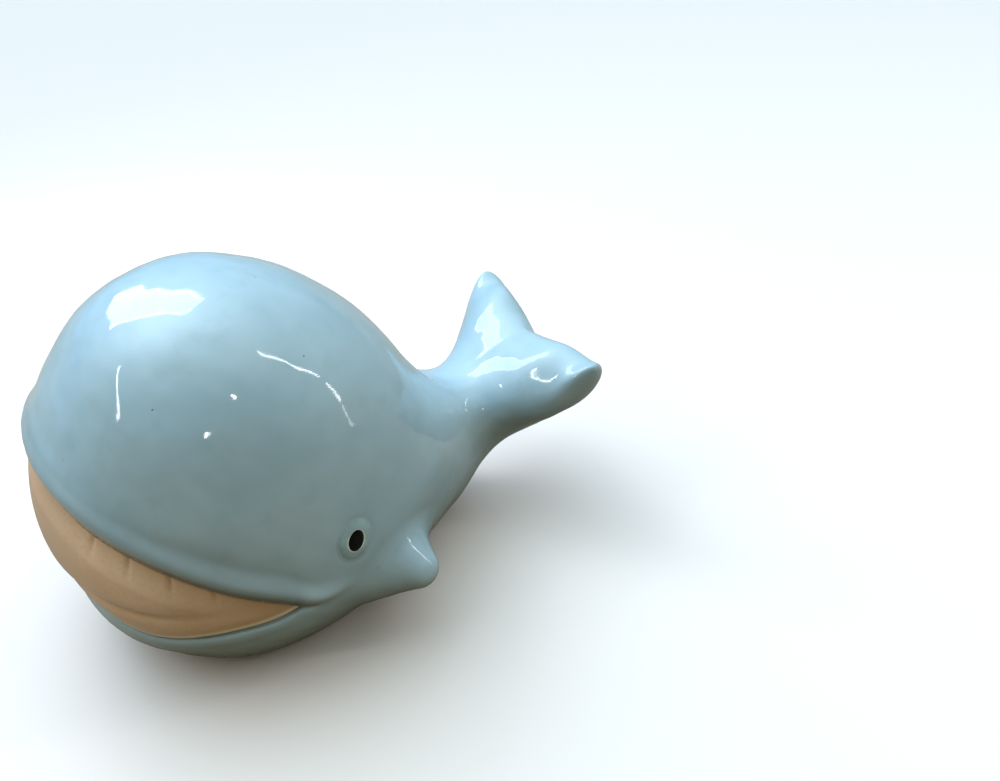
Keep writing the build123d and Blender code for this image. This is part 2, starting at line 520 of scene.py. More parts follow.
def mesh_points(mesh):
    """A mesh's points in millimetres."""
    flat = np.empty(len(mesh.vertices) * 3)
    mesh.vertices.foreach_get("co", flat)
    return flat.reshape(-1, 3) / MM


def finished(obj):
    """The object's mesh with its modifiers applied, as a plain mesh."""
    shown = obj.evaluated_get(bpy.context.evaluated_depsgraph_get())
    mesh = bpy.data.meshes.new_from_object(shown)
    obj.modifiers.clear()
    obj.data = mesh
    return obj


def new_object(name, data):
    """An object of this mesh, lamp or camera, in the scene."""
    obj = bpy.data.objects.new(name, data)
    bpy.context.scene.collection.objects.link(obj)
    return obj


# %% Skin
tail_high = node_box("tail_flukes")[1]
fin_high = node_box("left_fin")[1]
net_low = np.array([-fin_high[0], dome_y - nose_reach, 0]) - margin
net_high = np.array([fin_high[0], tail_high[1], body_high[2]]) + margin
points, quads = surface_net(whale, net_low, net_high, net_step)
points = relax(settle(whale, points), quads)
skin = new_object("skin", new_mesh("skin", points, quads))
division = skin.modifiers.new("finer", "SUBSURF")
division.levels = division.render_levels = 1
finished(skin)
points = settle(whale, mesh_points(skin.data), rounds=2)
skin.data.vertices.foreach_set("co", (points * MM).ravel())
print("skin:", len(points), "points, lowest", points.min(axis=0), "highest", points.max(axis=0))

# %% [markdown]
# ## Cutting the skin
# The glaze stops at the lips, and the underside is open. A cut has to follow a curve, so the
# points' heights are swapped for the value of a function that is zero on the curve, a flat cut is
# made at zero, and the points go home again. Their home rides along in a layer, so the new points
# get one too.

# %% Cut along a curve
snap = 0.12 * MM
mouth_spare, underside = 0.4, 0.3


def cut(bm, rule, where):
    """Splits faces along the curve where the rule is zero, for faces whose middle passes where."""
    home = bm.verts.layers.float_vector.get("home") or bm.verts.layers.float_vector.new("home")
    bm.verts.ensure_lookup_table()
    values = rule(np.array([v.co for v in bm.verts]) / MM) * MM
    faces = [f for f, ok in zip(bm.faces, where(face_middles(bm))) if ok]
    for v, value in zip(bm.verts, values):
        v[home] = v.co
        v.co.z = value
    edges = {e for f in faces for e in f.edges}
    verts = {v for f in faces for v in f.verts}
    bmesh.ops.bisect_plane(
        bm, geom=[*verts, *edges, *faces], dist=snap, plane_co=(0, 0, 0), plane_no=(0, 0, 1)
    )
    for v in bm.verts:
        v.co = v[home]


def face_middles(bm):
    """The faces' middles in millimetres."""
    return np.array([f.calc_center_median() for f in bm.faces]) / MM


def mouth_half(p):
    """Half the mouth's height there, less how far the point lies from its middle line."""
    y = p[:, 1] - dome_y
    middle = (upper_lip(y) + lower_lip(y)) / 2
    half = np.where(y < corner_reach, (upper_lip(y) - lower_lip(y)) / 2, -1)
    return half - np.abs(p[:, 2] - middle)


def cut_mouth(line, side):
    """Cuts the skin along one lip line, in front of the corner and on that side of the mouth."""

    def edge(p):
        return p[:, 2] - line(p[:, 1] - dome_y)

    def near(middles):
        y = middles[:, 1] - dome_y
        past_middle = side * (middles[:, 2] - (upper_lip(y) + lower_lip(y)) / 2)
        return (y < corner_reach + mouth_spare) & (past_middle > -mouth_spare)

    cut(bm, edge, near)


foot_wall = 4.5
foot_width_share = 0.69
foot_half_width = foot_width_share * half_width - foot_wall
foot_nose = side_view_shares[0][1] * nose_reach - foot_wall
foot_rear = side_view_shares[0][2] * rear_reach - foot_wall


def hollow_edge(p):
    """Zero on the inner edge of the foot ring, seen from below."""
    y = p[:, 1] - dome_y
    reach = np.where(y < 0, foot_nose, foot_rear)
    power = squareness - squarer_up
    share = (np.abs(p[:, 0]) / foot_half_width) ** power + (np.abs(y) / reach) ** power
    return (share ** (1 / power) - 1) * foot_half_width


bm = bmesh.new()
bm.from_mesh(skin.data)
cut_mouth(upper_lip, 1)
cut_mouth(lower_lip, -1)
cut(bm, hollow_edge, lambda middles: middles[:, 2] < underside)
print("after the cuts:", len(bm.faces), "faces")

# %% [markdown]
# ## Rolled edges
# Pushing the mouth's faces in, a little at a time, leaves the skin closed and rolls the glaze over
# the edge of each lip. The same move makes the hollow above the foot ring.

# %% Push in the mouth and the hollow
# Along the skin and into it, from row to row, and the rows' heights in the hollow
lip_rolls = [(0.10, 0.25), (0.25, 0.65), (0.30, 1.20), (0.15, 3.40)]
hollow_rows = [0.5, 1.2, 12.0]


def push(bm, faces, move):
    """Extrudes faces and moves their points by what move gives for each."""
    made = bmesh.ops.extrude_face_region(bm, geom=faces)["geom"]
    bmesh.ops.delete(bm, geom=faces, context="FACES_ONLY")
    inner = [g for g in made if isinstance(g, bmesh.types.BMFace)]
    verts = [g for g in made if isinstance(g, bmesh.types.BMVert)]
    inner_set = set(inner)
    rim = np.array([any(f not in inner_set for f in v.link_faces) for v in verts])
    home = np.array([v.co for v in verts]) / MM
    for v, place in zip(verts, move(home, rim)):
        v.co = Vector(place) * MM
    return inner


middles = face_middles(bm)
is_mouth = mouth_half(middles) > 0
mouth_faces = [f for f, inside in zip(bm.faces, is_mouth) if inside]
depth_before, along_before = 0.0, 0.0
for along, depth in lip_rolls:

    def roll(p, rim, along=along - along_before, depth=depth - depth_before):
        out = slope(dome, p)
        out /= np.linalg.norm(out, axis=1, keepdims=True)
        toward = slope(mouth_half, p)
        toward -= (toward * out).sum(axis=1, keepdims=True) * out
        toward /= np.maximum(np.linalg.norm(toward, axis=1, keepdims=True), 0.3)
        return p - depth * out + along * toward * rim[:, None]

    mouth_faces = push(bm, mouth_faces, roll)
    along_before, depth_before = along, depth

middles = face_middles(bm)
is_hollow = (middles[:, 2] < underside) & (hollow_edge(middles) < 0)
hollow_faces = [f for f, inside in zip(bm.faces, is_hollow) if inside]
risen = 0.0
for up in hollow_rows:
    hollow_faces = push(bm, hollow_faces, lambda p, rim, rise=up - risen: p + (0, 0, rise))
    risen = up
print("mouth and hollow pushed in:", len(bm.faces), "faces")

# %% [markdown]
# ## Body, tail and flippers as their own pieces
# On the bench the tail and the flippers were cast apart and joined with slip, so each keeps a
# piece of its own. The seams lie where the two rules are equal, in the middle of each fillet.
# Every point takes its shading direction from the rule itself, so no seam and no quad shows in the
# glaze.

# %% Split at the joints
seam_reach = 3.0


def tail_seam(p):
    """Zero where the tail's rule meets the dome's."""
    return tail(p) - dome(p)


def fin_seam(p):
    """Zero where a flipper's rule meets the dome's."""
    return fins(p) - dome(p)


def on_surface(p, tolerance=0.3):
    """Chooses what the cuts and pushes left on the skin."""
    return np.abs(whale(p)) < tolerance


def near_seam(middles, seam):
    """Chooses the skin's faces that lie close to a seam."""
    return on_surface(middles) & (np.abs(seam(middles)) < seam_reach)


cut(bm, tail_seam, lambda m: near_seam(m, tail_seam) & (m[:, 1] > 0))
cut(bm, fin_seam, lambda m: near_seam(m, fin_seam) & (tail_seam(m) > 0))
middles = face_middles(bm)
shown = on_surface(middles)
is_tail = shown & (tail_seam(middles) < 0) & (middles[:, 1] > 0)
is_fin = shown & (fin_seam(middles) < 0) & ~is_tail
owner = np.where(is_tail, 1, 0) + np.where(is_fin, np.where(middles[:, 0] > 0, 2, 3), 0)
piece_names = ["body_glaze", "tail_glaze", "left_fin_glaze", "right_fin_glaze"]
piece_nodes = ["body_shell", "tail_flukes", "left_fin", "right_fin"]


def shade_by_rule(mesh, rule, shading_reach=0.02):
    """Smooth shading, with the rule's own direction wherever a point lies on its surface."""
    mesh.shade_smooth()
    normals = np.array([v.normal for v in mesh.vertices])
    points = mesh_points(mesh)
    on = np.abs(rule(points)) < shading_reach
    out = slope(rule, points[on])
    normals[on] = out / np.linalg.norm(out, axis=1, keepdims=True)
    mesh.normals_split_custom_set_from_vertices(normals.tolist())


def split_off(number):
    """A closed mesh of the faces with this number."""
    part = bm.copy()
    part.faces.ensure_lookup_table()
    others = [f for f, o in zip(part.faces, owner) if o != number]
    bmesh.ops.delete(part, geom=others, context="FACES")
    bmesh.ops.holes_fill(part, edges=[e for e in part.edges if e.is_boundary], sides=0)
    bmesh.ops.recalc_face_normals(part, faces=part.faces)
    part.verts.layers.float_vector.remove(part.verts.layers.float_vector["home"])
    mesh = bpy.data.meshes.new(piece_names[number])
    part.to_mesh(mesh)
    part.free()
    shade_by_rule(mesh, whale)
    return mesh


print("faces by piece:", dict(zip(piece_names, np.bincount(owner).tolist())))

# %% [markdown]
# ## Where the glaze pools, where it is thin and where shade is painted
# Glaze is thick where it ran together and thin on edges, and both show as another colour. Painted
# shade rides on the same numbers: in the creases, under the flippers and lips, inside the mouth and
# on surfaces that face down. A baked map could say where. Here each point of the mesh keeps three
# numbers, worked out from the same rules as the shape, and the material reads them.

# %% Glaze measures
# How much glaze runs together in each place, with painted shade in the same creases, and how wide
# the dark line is
tail_crease, fin_crease, trough_line, eye_line = (1.0, 1.8), (0.5, 1.6), (0.3, 1.6), (0.55, 0.12)
# Where each of these lines fades out, and the small dark dimple behind the mouth's corner, pooled
# glaze with painted shade
tail_crease_fades, fin_crease_fades, trough_fades = (4, 13), (10, 16), (0, 12)
eye_line_fades = (-0.5, 0.8)
eye_line_at, fallen_way = 1.10, (-0.75, -0.65)
corner_pool_shade_back, corner_pool_shade_up = (1.5, 2.2), (-0.3, 0.7)
# How far from the lip's edge the brown reaches, thin glaze with painted shade under the lip, and
# the share of the wider fainter part, which is painted shade
brown_edge, brown_wide, brown_wide_share = (0.3, 3.8), (2.0, 18.0), 0.36
jaw_brown, jaw_brown_share = (0.0, 0.7), 0.7
brown_fades, brown_floor, mouth_edge, mouth_depth = (-1, 4), 12, 0.1, 0.4


def pooled_and_shade(p):
    """Pooled glaze and painted shade: in the creases, the trough, under the flippers and round the
    eyes.
    """
    away = np.abs(p[:, 0] - top_middle)
    high = (1 - fade(p[:, 2], top_starts, top_full)) * fade(away, *tail_crease_fades)
    low = fade(p[:, 2], *fin_crease_fades)
    back = p[:, 1] - dome_y - corner_reach
    crease = tail_crease[0] * hump(tail_seam(p), 0, tail_crease[1]) * high
    crease += fin_crease[0] * hump(fin_seam(p), 0, fin_crease[1]) * low
    trough = trough_line[0] * hump(lip_distance(p, upper_lip), trough_up, trough_line[1])
    trough *= fade(back, *trough_fades)
    y, z = p[:, 1] - eye_y, p[:, 2] - eye_z
    fallen = (fallen_way[0] * y + fallen_way[1] * z) / np.maximum(np.hypot(y, z), tiny)
    eye = eye_line[0] * hump(eye_oval(p, ring_size), eye_line_at, eye_line[1])
    eye *= (1 - fade(fallen, *eye_line_fades)) * (np.abs(p[:, 0]) > half_width / 2)
    corner = hump(back, *corner_pool_shade_back) * hump(p[:, 2] - corner_z, *corner_pool_shade_up)
    return np.clip(np.maximum.reduce([crease, trough, eye, corner]), 0, 1)


def under_lip_brown_and_shade(p):
    """One where it turns brown: thin glaze and painted shade under the lips' edges, fainter
    painted shade above them, and painted shade only inside the mouth.
    """
    back = p[:, 1] - dome_y - corner_reach
    above = lip_distance(p, upper_lip)
    upper = np.maximum(fade(above, *brown_edge), brown_wide_share * fade(above, *brown_wide))
    upper *= mouth_half(p) < mouth_edge
    lower = jaw_brown_share * fade(-lip_distance(p, lower_lip), *jaw_brown)
    on = np.where(p[:, 2] > corner_z, upper, lower) * fade(back, *brown_fades)
    near = (p[:, 2] > brown_floor) & (back < brown_fades[1])
    inside = (bare_whale(p) < -mouth_depth) & near
    return np.where(inside, 1.0, on * near)


def keep(mesh, name, values):
    """Stores one number at each point of a mesh, under a name that materials can read."""
    mesh.attributes.new(name, "FLOAT", "POINT").data.foreach_set("value", np.asarray(values, float))


# %% Glaze pieces
glaze_pieces = [new_object(name, split_off(i)) for i, name in enumerate(piece_names)]
for piece in glaze_pieces:
    places = mesh_points(piece.data)
    # Pooled glaze with painted shade in the creases
    keep(piece.data, "pooled_and_shade", pooled_and_shade(places))
    # Brown under the lips: thin glaze with painted shade, and painted shade above them and in the
    # mouth
    keep(piece.data, "thin_and_shade", under_lip_brown_and_shade(places))
    # How far each point faces down, which places painted shade below
    keep(piece.data, "facing_down_shade", [-v.normal.z for v in piece.data.vertices])
bm.free()
bpy.data.objects.remove(skin)
for piece, node in zip(glaze_pieces, piece_nodes):
    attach(piece, "root")
    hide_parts(node)
    print(piece.name, len(piece.data.polygons), "faces")

# %% [markdown]
# ## Adding nodes
# One function adds a node, sets its properties and fills its inputs. An input is a value, a colour
# in hex or another node's output. The function gives back one output, by default the first. Its
# inner half also fills the inputs of a node that is there already.

# %% Node helper
def hex_linear(text):
    """A colour written as sRGB hex, in the linear values that shaders use."""
    parts = [int(text[i : i + 2], 16) / 255 for i in (1, 3, 5)]
    return [c / 12.92 if c <= 0.04045 else ((c + 0.055) / 1.055) ** 2.4 for c in parts] + [1]


def fill(node, inputs):
    """Fills a node's inputs, listed in order or by name."""
    for key, value in inputs.items() if isinstance(inputs, dict) else enumerate(inputs):
        if isinstance(value, bpy.types.NodeSocket):
            node.id_data.links.new(value, node.inputs[key])
        elif isinstance(value, str) and value.startswith("#"):
            node.inputs[key].default_value = hex_linear(value)
        else:
            node.inputs[key].default_value = value


def add(tree, kind, inputs=(), output=0, **settings):
    """Adds a node with its settings and inputs, and gives back an output."""
    node = tree.nodes.new(kind)
    for name, value in settings.items():
        setattr(node, name, value)
    fill(node, inputs)
    return node.outputs[output] if node.outputs else None


# %% [markdown]
# ## Throat panel
# The throat is a cream pouch between the lips. Its folds follow rules across the surface, so a
# plain grid is made first, a little inside the dome, and carries four measures at each point: the
# angle round the body, and how far the point lies below the upper lip, above the jaw and above the
# crease.

# %% Throat grid
throat_end = math.radians(93.0)
throat_columns, throat_rows = 420, 96
under_lip = 1.3
throat_inset = 0.9
crease_z, crease_end_fall = 31.8, 3.4


def slide(p, out, rule, rounds=7, reach=0.1, least=0.3):
    """Slides points along a direction until the rule is zero there."""
    for _ in range(rounds):
        rate = (rule(p + out * reach) - rule(p - out * reach)) / (2 * reach)
        p = p - (rule(p) / np.maximum(rate, least))[:, None] * out
    return p


def at_azimuth(azimuth, z, rule):
    """Points of the rule's surface at these angles round the dome, and heights."""
    out = np.stack([np.sin(azimuth), -np.cos(azimuth), np.zeros_like(z)], axis=1)
    return slide(out * half_width + np.stack([0 * z, 0 * z + dome_y, z], axis=1), out, rule)


def throat_base(p):
    """Distance from the dome, drawn in a little."""
    return dome(p) + throat_inset


def lip_height(azimuth, line, rounds=12):
    """Height of a lip line at each angle."""
    z = np.full_like(azimuth, crease_z)
    for _ in range(rounds):
        y = at_azimuth(azimuth, z, throat_base)[:, 1] - dome_y
        z = line(np.minimum(y, corner_reach))
    return z


azimuth = np.linspace(-throat_end, throat_end, throat_columns)
low_z = lip_height(azimuth, lower_lip) - under_lip
high_z = lip_height(azimuth, upper_lip) + under_lip
share = np.linspace(0, 1, throat_rows)
grid_azimuth = np.repeat(azimuth, throat_rows)
grid_z = (low_z[:, None] + (high_z - low_z)[:, None] * share).ravel()
grid_points = at_azimuth(grid_azimuth, grid_z, throat_base)
corner = np.arange((throat_columns - 1) * throat_rows).reshape(-1, throat_rows)[:, :-1].ravel()
grid_faces = np.stack([corner, corner + throat_rows, corner + throat_rows + 1, corner + 1], axis=1)
turned = np.degrees(grid_azimuth)
measures = {
    "around": turned,
    "below_lip": -lip_distance(grid_points, upper_lip),
    "above_jaw": lip_distance(grid_points, lower_lip),
    "above_crease": grid_z - (crease_z - crease_end_fall * (turned / 90) ** 2),
}
throat = new_object("throat_pouch", new_mesh("throat_pouch", grid_points, grid_faces))
throat.data.shade_smooth()
for name, values in measures.items():
    keep(throat.data, name, values)
print("throat grid:", len(grid_points), "points,", round(high_z.max() - low_z.min(), 1), "mm high")

# %% [markdown]
# ## Pleats, crease and rolls
# Geometry Nodes turns the measures into a height above the grid: upright pleats that start sharp
# under the upper lip and soften on the way down, a crease where the pouch folds over, a roll below
# it, and a thin rim where the cream stops. Each height is a smooth ramp over one measure, so the
# tree is a table of ramps that are multiplied and added. Every size is an input with a name, easy
# to try and change.

# %% Throat sizes
throat_sizes = {
    "Pleat pitch": 10.5,
    "Pleat width": 1.3,
    "Pleat depth": 0.5,
    "Pleat depth below": 0.04,
    "Pleat run": 6.5,
    "Pleat foot": 0.5,
    "Pleat foot end": 7.0,
    "Front end": 27.0,
    "Front pleats": 0.1,
    "Pleats begin": 40.0,
    "Crease width": 2.4,
    "Crease depth": 0.45,
    "Crease fades": 45.0,
    "Crease end": 80.0,
    "Rise": 0.7,
    "Front rise": 0.8,
    "Rise run": 7.0,
    "Jaw rise": 0.45,
    "Jaw run": 4.0,
    "Pouch bulge": 1.1,
    "Pouch run": 5.5,
    "Pouch wanes": 9.0,
    "Pouch end": 24.0,
    "Pouch rest": 0.1,
    "Roll bulge": 0.3,
    "Roll middle": -3.2,
    "Roll width": 3.0,
    "Rim height": 0.25,
    "Rim middle": 0.9,
    "Rim width": 0.9,
}

# %% Throat tree
def throat_tree(material):
    """Pleats, crease, roll and rim, as a height along each point's own direction."""
    tree = bpy.data.node_groups.new("throat", "GeometryNodeTree")
    tree.interface.new_socket("Geometry", in_out="INPUT", socket_type="NodeSocketGeometry")
    for name in throat_sizes:
        tree.interface.new_socket(name, in_out="INPUT", socket_type="NodeSocketFloat")
    tree.interface.new_socket("Geometry", in_out="OUTPUT", socket_type="NodeSocketGeometry")
    size = tree.nodes.new("NodeGroupInput").outputs

    around, below_lip, above_jaw, above_crease = (
        add(tree, "GeometryNodeInputNamedAttribute", {"Name": name}, data_type="FLOAT")
        for name in measures
    )
    half_pitch = add(tree, "ShaderNodeMath", [size["Pleat pitch"], 2.0], operation="DIVIDE")
    wave = add(tree, "ShaderNodeMath", [around, half_pitch], operation="PINGPONG")
    beside, over_roll, over_rim = (
        add(tree, "ShaderNodeMath", pair, operation="SUBTRACT")
        for pair in (
            (half_pitch, wave),
            (above_crease, size["Roll middle"]),
            (above_jaw, size["Rim middle"]),
        )
    )
    turned, off_crease, off_roll, off_rim = (
        add(tree, "ShaderNodeMath", [signed], operation="ABSOLUTE")
        for signed in (around, above_crease, over_roll, over_rim)
    )
    # A measure, where its ramp starts and ends, and the heights or shares that it runs between
    soft_ramps = (
        (below_lip, 0.0, size["Pleat run"], size["Pleat depth"], size["Pleat depth below"]),
        (above_crease, size["Pleat foot"], size["Pleat foot end"], 0.0, 1.0),
        (turned, size["Front end"], size["Pleats begin"], size["Front pleats"], 1.0),
        (turned, size["Crease fades"], size["Crease end"], 1.0, 0.0),
        (above_crease, 0.0, size["Pouch run"], 0.0, size["Pouch bulge"]),
        (above_crease, size["Pouch wanes"], size["Pouch end"], 1.0, size["Pouch rest"]),
        (below_lip, 0.0, size["Rise run"], 0.0, 1.0),
        (above_jaw, 0.0, size["Jaw run"], size["Jaw rise"], 1.0),
        (off_roll, 0.0, size["Roll width"], size["Roll bulge"], 0.0),
        (off_rim, 0.0, size["Rim width"], size["Rim height"], 0.0),
    )
    sharp_ramps = (
        (beside, 0.0, size["Pleat width"], 1.0, 0.0),
        (off_crease, 0.0, size["Crease width"], size["Crease depth"], 0.0),
    )
    deep, over_crease, past_front, in_front, swell, wane, tuck, low_tuck, roll, rim = (
        add(tree, "ShaderNodeMapRange", ramp, interpolation_type="SMOOTHSTEP")
        for ramp in soft_ramps
    )
    groove, fold = (
        add(tree, "ShaderNodeMapRange", ramp, interpolation_type="SMOOTHERSTEP")
        for ramp in sharp_ramps
    )
    rise = add(
        tree, "ShaderNodeMath", [in_front, size["Front rise"], size["Rise"]],
        operation="MULTIPLY_ADD",
    )
    normal = add(tree, "GeometryNodeInputNormal")
    # What each height starts as, and what is done to it in turn
    heights = []
    for high, steps in (
        (groove, (("MULTIPLY", deep), ("MULTIPLY", over_crease), ("MULTIPLY", past_front))),
        (fold, (("MULTIPLY", in_front),)),
        (roll, (("MULTIPLY", in_front),)),
        (swell, (
            ("MULTIPLY", wane), ("MULTIPLY", in_front), ("ADD", rise), ("MULTIPLY", tuck),
            ("MULTIPLY", low_tuck),
        )),
    ):
        for operation, other in steps:
            high = add(tree, "ShaderNodeMath", [high, other], operation=operation)
        heights.append(high)
    pleat, fold, roll, swell = heights
    sunk = add(tree, "ShaderNodeMath", [pleat, fold], operation="ADD")
    for operation, other in (
        ("ADD", roll), ("ADD", rim), ("SUBTRACT", sunk), ("MULTIPLY", MM),
    ):
        swell = add(tree, "ShaderNodeMath", [swell, other], operation=operation)
    offset = add(
        tree, "ShaderNodeVectorMath", {"Vector": normal, "Scale": swell}, operation="SCALE"
    )
    moved = add(
        tree, "GeometryNodeSetPosition", {"Geometry": size["Geometry"], "Offset": offset}
    )
    kept = add(
        tree, "GeometryNodeStoreNamedAttribute",
        {"Geometry": moved, "Name": "sunk", "Value": sunk}, data_type="FLOAT", domain="POINT",
    )
    real = add(tree, "GeometryNodeRealizeInstances", [kept])
    painted = add(tree, "GeometryNodeSetMaterial", {"Geometry": real, "Material": material})
    add(tree, "NodeGroupOutput", [painted])
    return tree

# %% Throat
def run_tree(obj, tree, sizes):
    """Runs a tree on an object with named sizes and leaves a plain mesh."""
    modifier = obj.modifiers.new(tree.name, "NODES")
    modifier.node_group = tree
    sockets = {i.name: i.identifier for i in tree.interface.items_tree if i.in_out == "INPUT"}
    for name, value in sizes.items():
        modifier[sockets[name]] = value
    return finished(obj)


cream = bpy.data.materials.new("glazed_earthenware_cream")
run_tree(throat, throat_tree(cream), throat_sizes)
throat_thickness = 2.2
wall = throat.modifiers.new("wall", "SOLIDIFY")
wall.thickness, wall.offset = throat_thickness * MM, -1
finished(throat)
throat.name = "throat_pouch"
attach(throat, "root")
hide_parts("throat_panel")
print("throat:", len(throat.data.polygons), "faces")

# %% [markdown]
# ## Eyes
# Each eye is a soft oval ring pressed on the cheek, with a drop of black enamel in its middle. A
# torus and a flattened ball would not follow the cheek. So both are made of rings of points: each
# point of an oval slides along X until it lies the right height over the skin.

# %% Eye rings and enamel
def ring_mesh(name, rings, looped=False):
    """A closed mesh of quads between rings of points. Looped, its last ring joins its first."""
    count, rows = len(rings[0]), len(rings)
    faces = []
    for row in range(rows if looped else rows - 1):
        here, there = row * count, (row + 1) % rows * count
        for i in range(count):
            j = (i + 1) % count
            faces.append((here + i, here + j, there + j, there + i))
    if not looped:
        faces += [tuple(range(count))[::-1], tuple(range((rows - 1) * count, rows * count))]
    mesh = bpy.data.meshes.new(name)
    mesh.from_pydata((np.concatenate(rings) * MM).tolist(), [], faces)
    loose = bmesh.new()
    loose.from_mesh(mesh)
    bmesh.ops.recalc_face_normals(loose, faces=loose.faces)
    loose.to_mesh(mesh)
    loose.free()
    mesh.shade_smooth()
    return mesh


def on_cheek(side, size, share, up, count=96):
    """An oval of points at this share of its size and this height over the cheek."""
    angle = np.arange(count) * 2 * math.pi / count
    across, along = np.cos(angle) * size[0] / 2 * share, np.sin(angle) * size[1] / 2 * share
    y = eye_y + across * math.cos(eye_lean) + along * math.sin(eye_lean)
    z = eye_z - across * math.sin(eye_lean) + along * math.cos(eye_lean)
    p = np.stack([np.full(count, side * half_width), y, z], axis=1)
    return slide(p, np.array([side, 0, 0]), lambda q: whale(q) - up, rounds=6)


# Share of the oval and height in mm, from the middle outwards
enamel_profile = [
    (0.03, 0.80), (0.25, 0.79), (0.5, 0.74), (0.75, 0.64), (0.90, 0.52), (0.98, 0.38), (1.02, 0.1),
    (0.9, -0.6), (0.1, -0.8),
]
ring_profile = [
    (0.44, -0.5), (0.46, 0.20), (0.49, 0.34), (0.56, 0.40), (0.66, 0.37), (0.76, 0.29),
    (0.86, 0.18), (0.95, 0.07), (1.03, -0.03), (1.08, -0.6),
]
for side, word in ((1, "left"), (-1, "right")):
    ring = [on_cheek(side, ring_size, share, up) for share, up in ring_profile]
    drop = [on_cheek(side, pupil_size, share, up) for share, up in enamel_profile]
    eye_ring = new_object(word + "_eye_rim", ring_mesh(word + "_eye_rim", ring, looped=True))
    keep(eye_ring.data, "outwards", np.repeat([share for share, _ in ring_profile], len(ring[0])))
    enamel = new_object(word + "_eye_enamel", ring_mesh(word + "_eye_enamel", drop))
    for piece, node, slot in (
        (eye_ring, word + "_eye_ring", "ring_glaze"),
        (enamel, word + "_pupil", "black_enamel"),
    ):
        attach(piece, "root")
        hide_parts(node)
print("eyes at", round(eye_y, 1), round(eye_z, 1))

# %% [markdown]
# ## Glaze and clay
# A glaze is a thin layer of glass. What gives it away is the sharp reflection, with edges that
# wander where the layer is uneven, and the colour that deepens where it ran thick and turns brown
# where it ran thin over the clay. Each glaze is laid on as a table of coats, one row for each
# cause of a colour, and some rows are painted shade. All pattern sizes are written in millimetres
# and turned into texture scales by one function.

# %% Coats and patterns
glass_ior = 1.52


def per(millimetres):
    """The texture scale whose pattern repeats about every so many millimetres."""
    return 1 / (millimetres * MM)


def shader(material):
    """A material's tree, its Principled BSDF and object coordinates."""
    material.use_nodes = True
    tree = material.node_tree
    return tree, tree.nodes["Principled BSDF"], add(tree, "ShaderNodeTexCoord", output="Object")


def coated(tree, colour, coats):
    """Lays coats over a colour. A row holds a measure, its range, how much of the coat shows at the
    two ends of that range, and the coat's colour."""
    for value, low, high, first, last, coat in coats:
        share = add(
            tree, "ShaderNodeMapRange", [value, low, high, first, last],
            interpolation_type="SMOOTHSTEP",
        )
        colour = add(tree, "ShaderNodeMix", {0: share, 6: colour, 7: coat}, 2, data_type="RGBA")
    return colour


def speckled(tree, place, spacing, size, share):
    """Small round spots, one in each cell of a scatter, kept in this share of the cells."""
    distance = add(
        tree, "ShaderNodeTexVoronoi", {"Vector": place, "Scale": per(spacing)}, "Distance"
    )
    chance = add(tree, "ShaderNodeSeparateColor", [distance.node.outputs["Color"]])
    chosen = add(tree, "ShaderNodeMath", [chance, share], operation="LESS_THAN")
    return add(
        tree, "ShaderNodeMapRange",
        [distance, 0.5 * size / spacing, size / spacing, chosen, 0.0],
        interpolation_type="SMOOTHSTEP",
    )


# %% [markdown]
# ## Blue glaze
# Light blue glass over pale clay gives the eye sharp wandering highlights over a soft chalky blue.
# Its coats are thin clouds and streaks, painted shade towards the foot and on surfaces that face
# down, pooled glaze with painted shade in the creases, brown edges where the glaze is thin and
# shade is painted, iron spots, and the line where it was wiped from the foot.

# %% Blue glaze
cloud_size, streak_size, ripple_size, ripple_depth = 26, 6, 2.6, 0.022
spot_gap, spot_size, spot_share = 8.0, 0.34, 0.42
foot_shade_heights, wiped_edge = (3 * MM, 24 * MM), (0.25 * MM, 0.6 * MM)
blue = bpy.data.materials.new("glazed_earthenware_blue")
tree, surface, place = shader(blue)
clouds, streaks, ripple = (
    add(tree, "ShaderNodeTexNoise", {"Vector": place, "Scale": per(size), "Detail": detail})
    for size, detail in ((cloud_size, 3.0), (streak_size, 3.0), (ripple_size, 1.0))
)
height_here = add(tree, "ShaderNodeSeparateXYZ", [place], "Z")
spots = speckled(tree, place, spot_gap, spot_size, spot_share)
down, pool_and_shade, thin_and_shade = (
    add(tree, "ShaderNodeAttribute", (), "Fac", attribute_name=name)
    for name in ("facing_down_shade", "pooled_and_shade", "thin_and_shade")
)
colour = coated(tree, "#a7c1cd", [
    (clouds, 0.35, 0.65, 0.0, 1.0, "#b3cbd6"),
    (streaks, 0.50, 0.75, 0.0, 0.25, "#96b3bb"),
    # Painted shade towards the foot, darker and browner near the floor
    (height_here, *foot_shade_heights, 0.35, 0.0, "#8c917f"),
    # Painted shade on surfaces that face down, tinted olive like the warm table below
    (down, -0.15, 0.8, 0.0, 0.70, "#77755a"),
    # Pooled glaze with painted shade in the creases, under the flippers and round the eyes
    (pool_and_shade, 0.0, 1.0, 0.0, 0.75, "#5d7672"),
    # Brown under the lips' edges: thin glaze with painted shade; the faint band above and the
    # mouth's inside are painted shade
    (thin_and_shade, 0.0, 1.0, 0.0, 0.85, "#5b5642"),
    (spots, 0.0, 1.0, 0.0, 0.75, "#4b4637"),
    (height_here, *wiped_edge, 1.0, 0.0, "#c3ae8f"),
])
wiped = add(tree, "ShaderNodeMapRange", [height_here, *wiped_edge, 1.0, 0.0])
gloss = add(tree, "ShaderNodeMapRange", [clouds, 0.3, 0.7, 0.045, 0.085])
gloss = add(tree, "ShaderNodeMath", [spots, 0.4, gloss], operation="MULTIPLY_ADD")
gloss = add(tree, "ShaderNodeMath", [wiped, 0.8, gloss], operation="MULTIPLY_ADD")
ripple = add(tree, "ShaderNodeMath", [spots, -3.0, ripple], operation="MULTIPLY_ADD")
bump = add(
    tree, "ShaderNodeBump", {"Strength": 1.0, "Distance": ripple_depth * MM, "Height": ripple}
)
fill(surface, {"Base Color": colour, "Roughness": gloss, "Normal": bump, "IOR": glass_ior})
for piece in glaze_pieces:
    piece.data.materials.append(blue)
print(blue.name, "has", len(tree.nodes), "nodes")
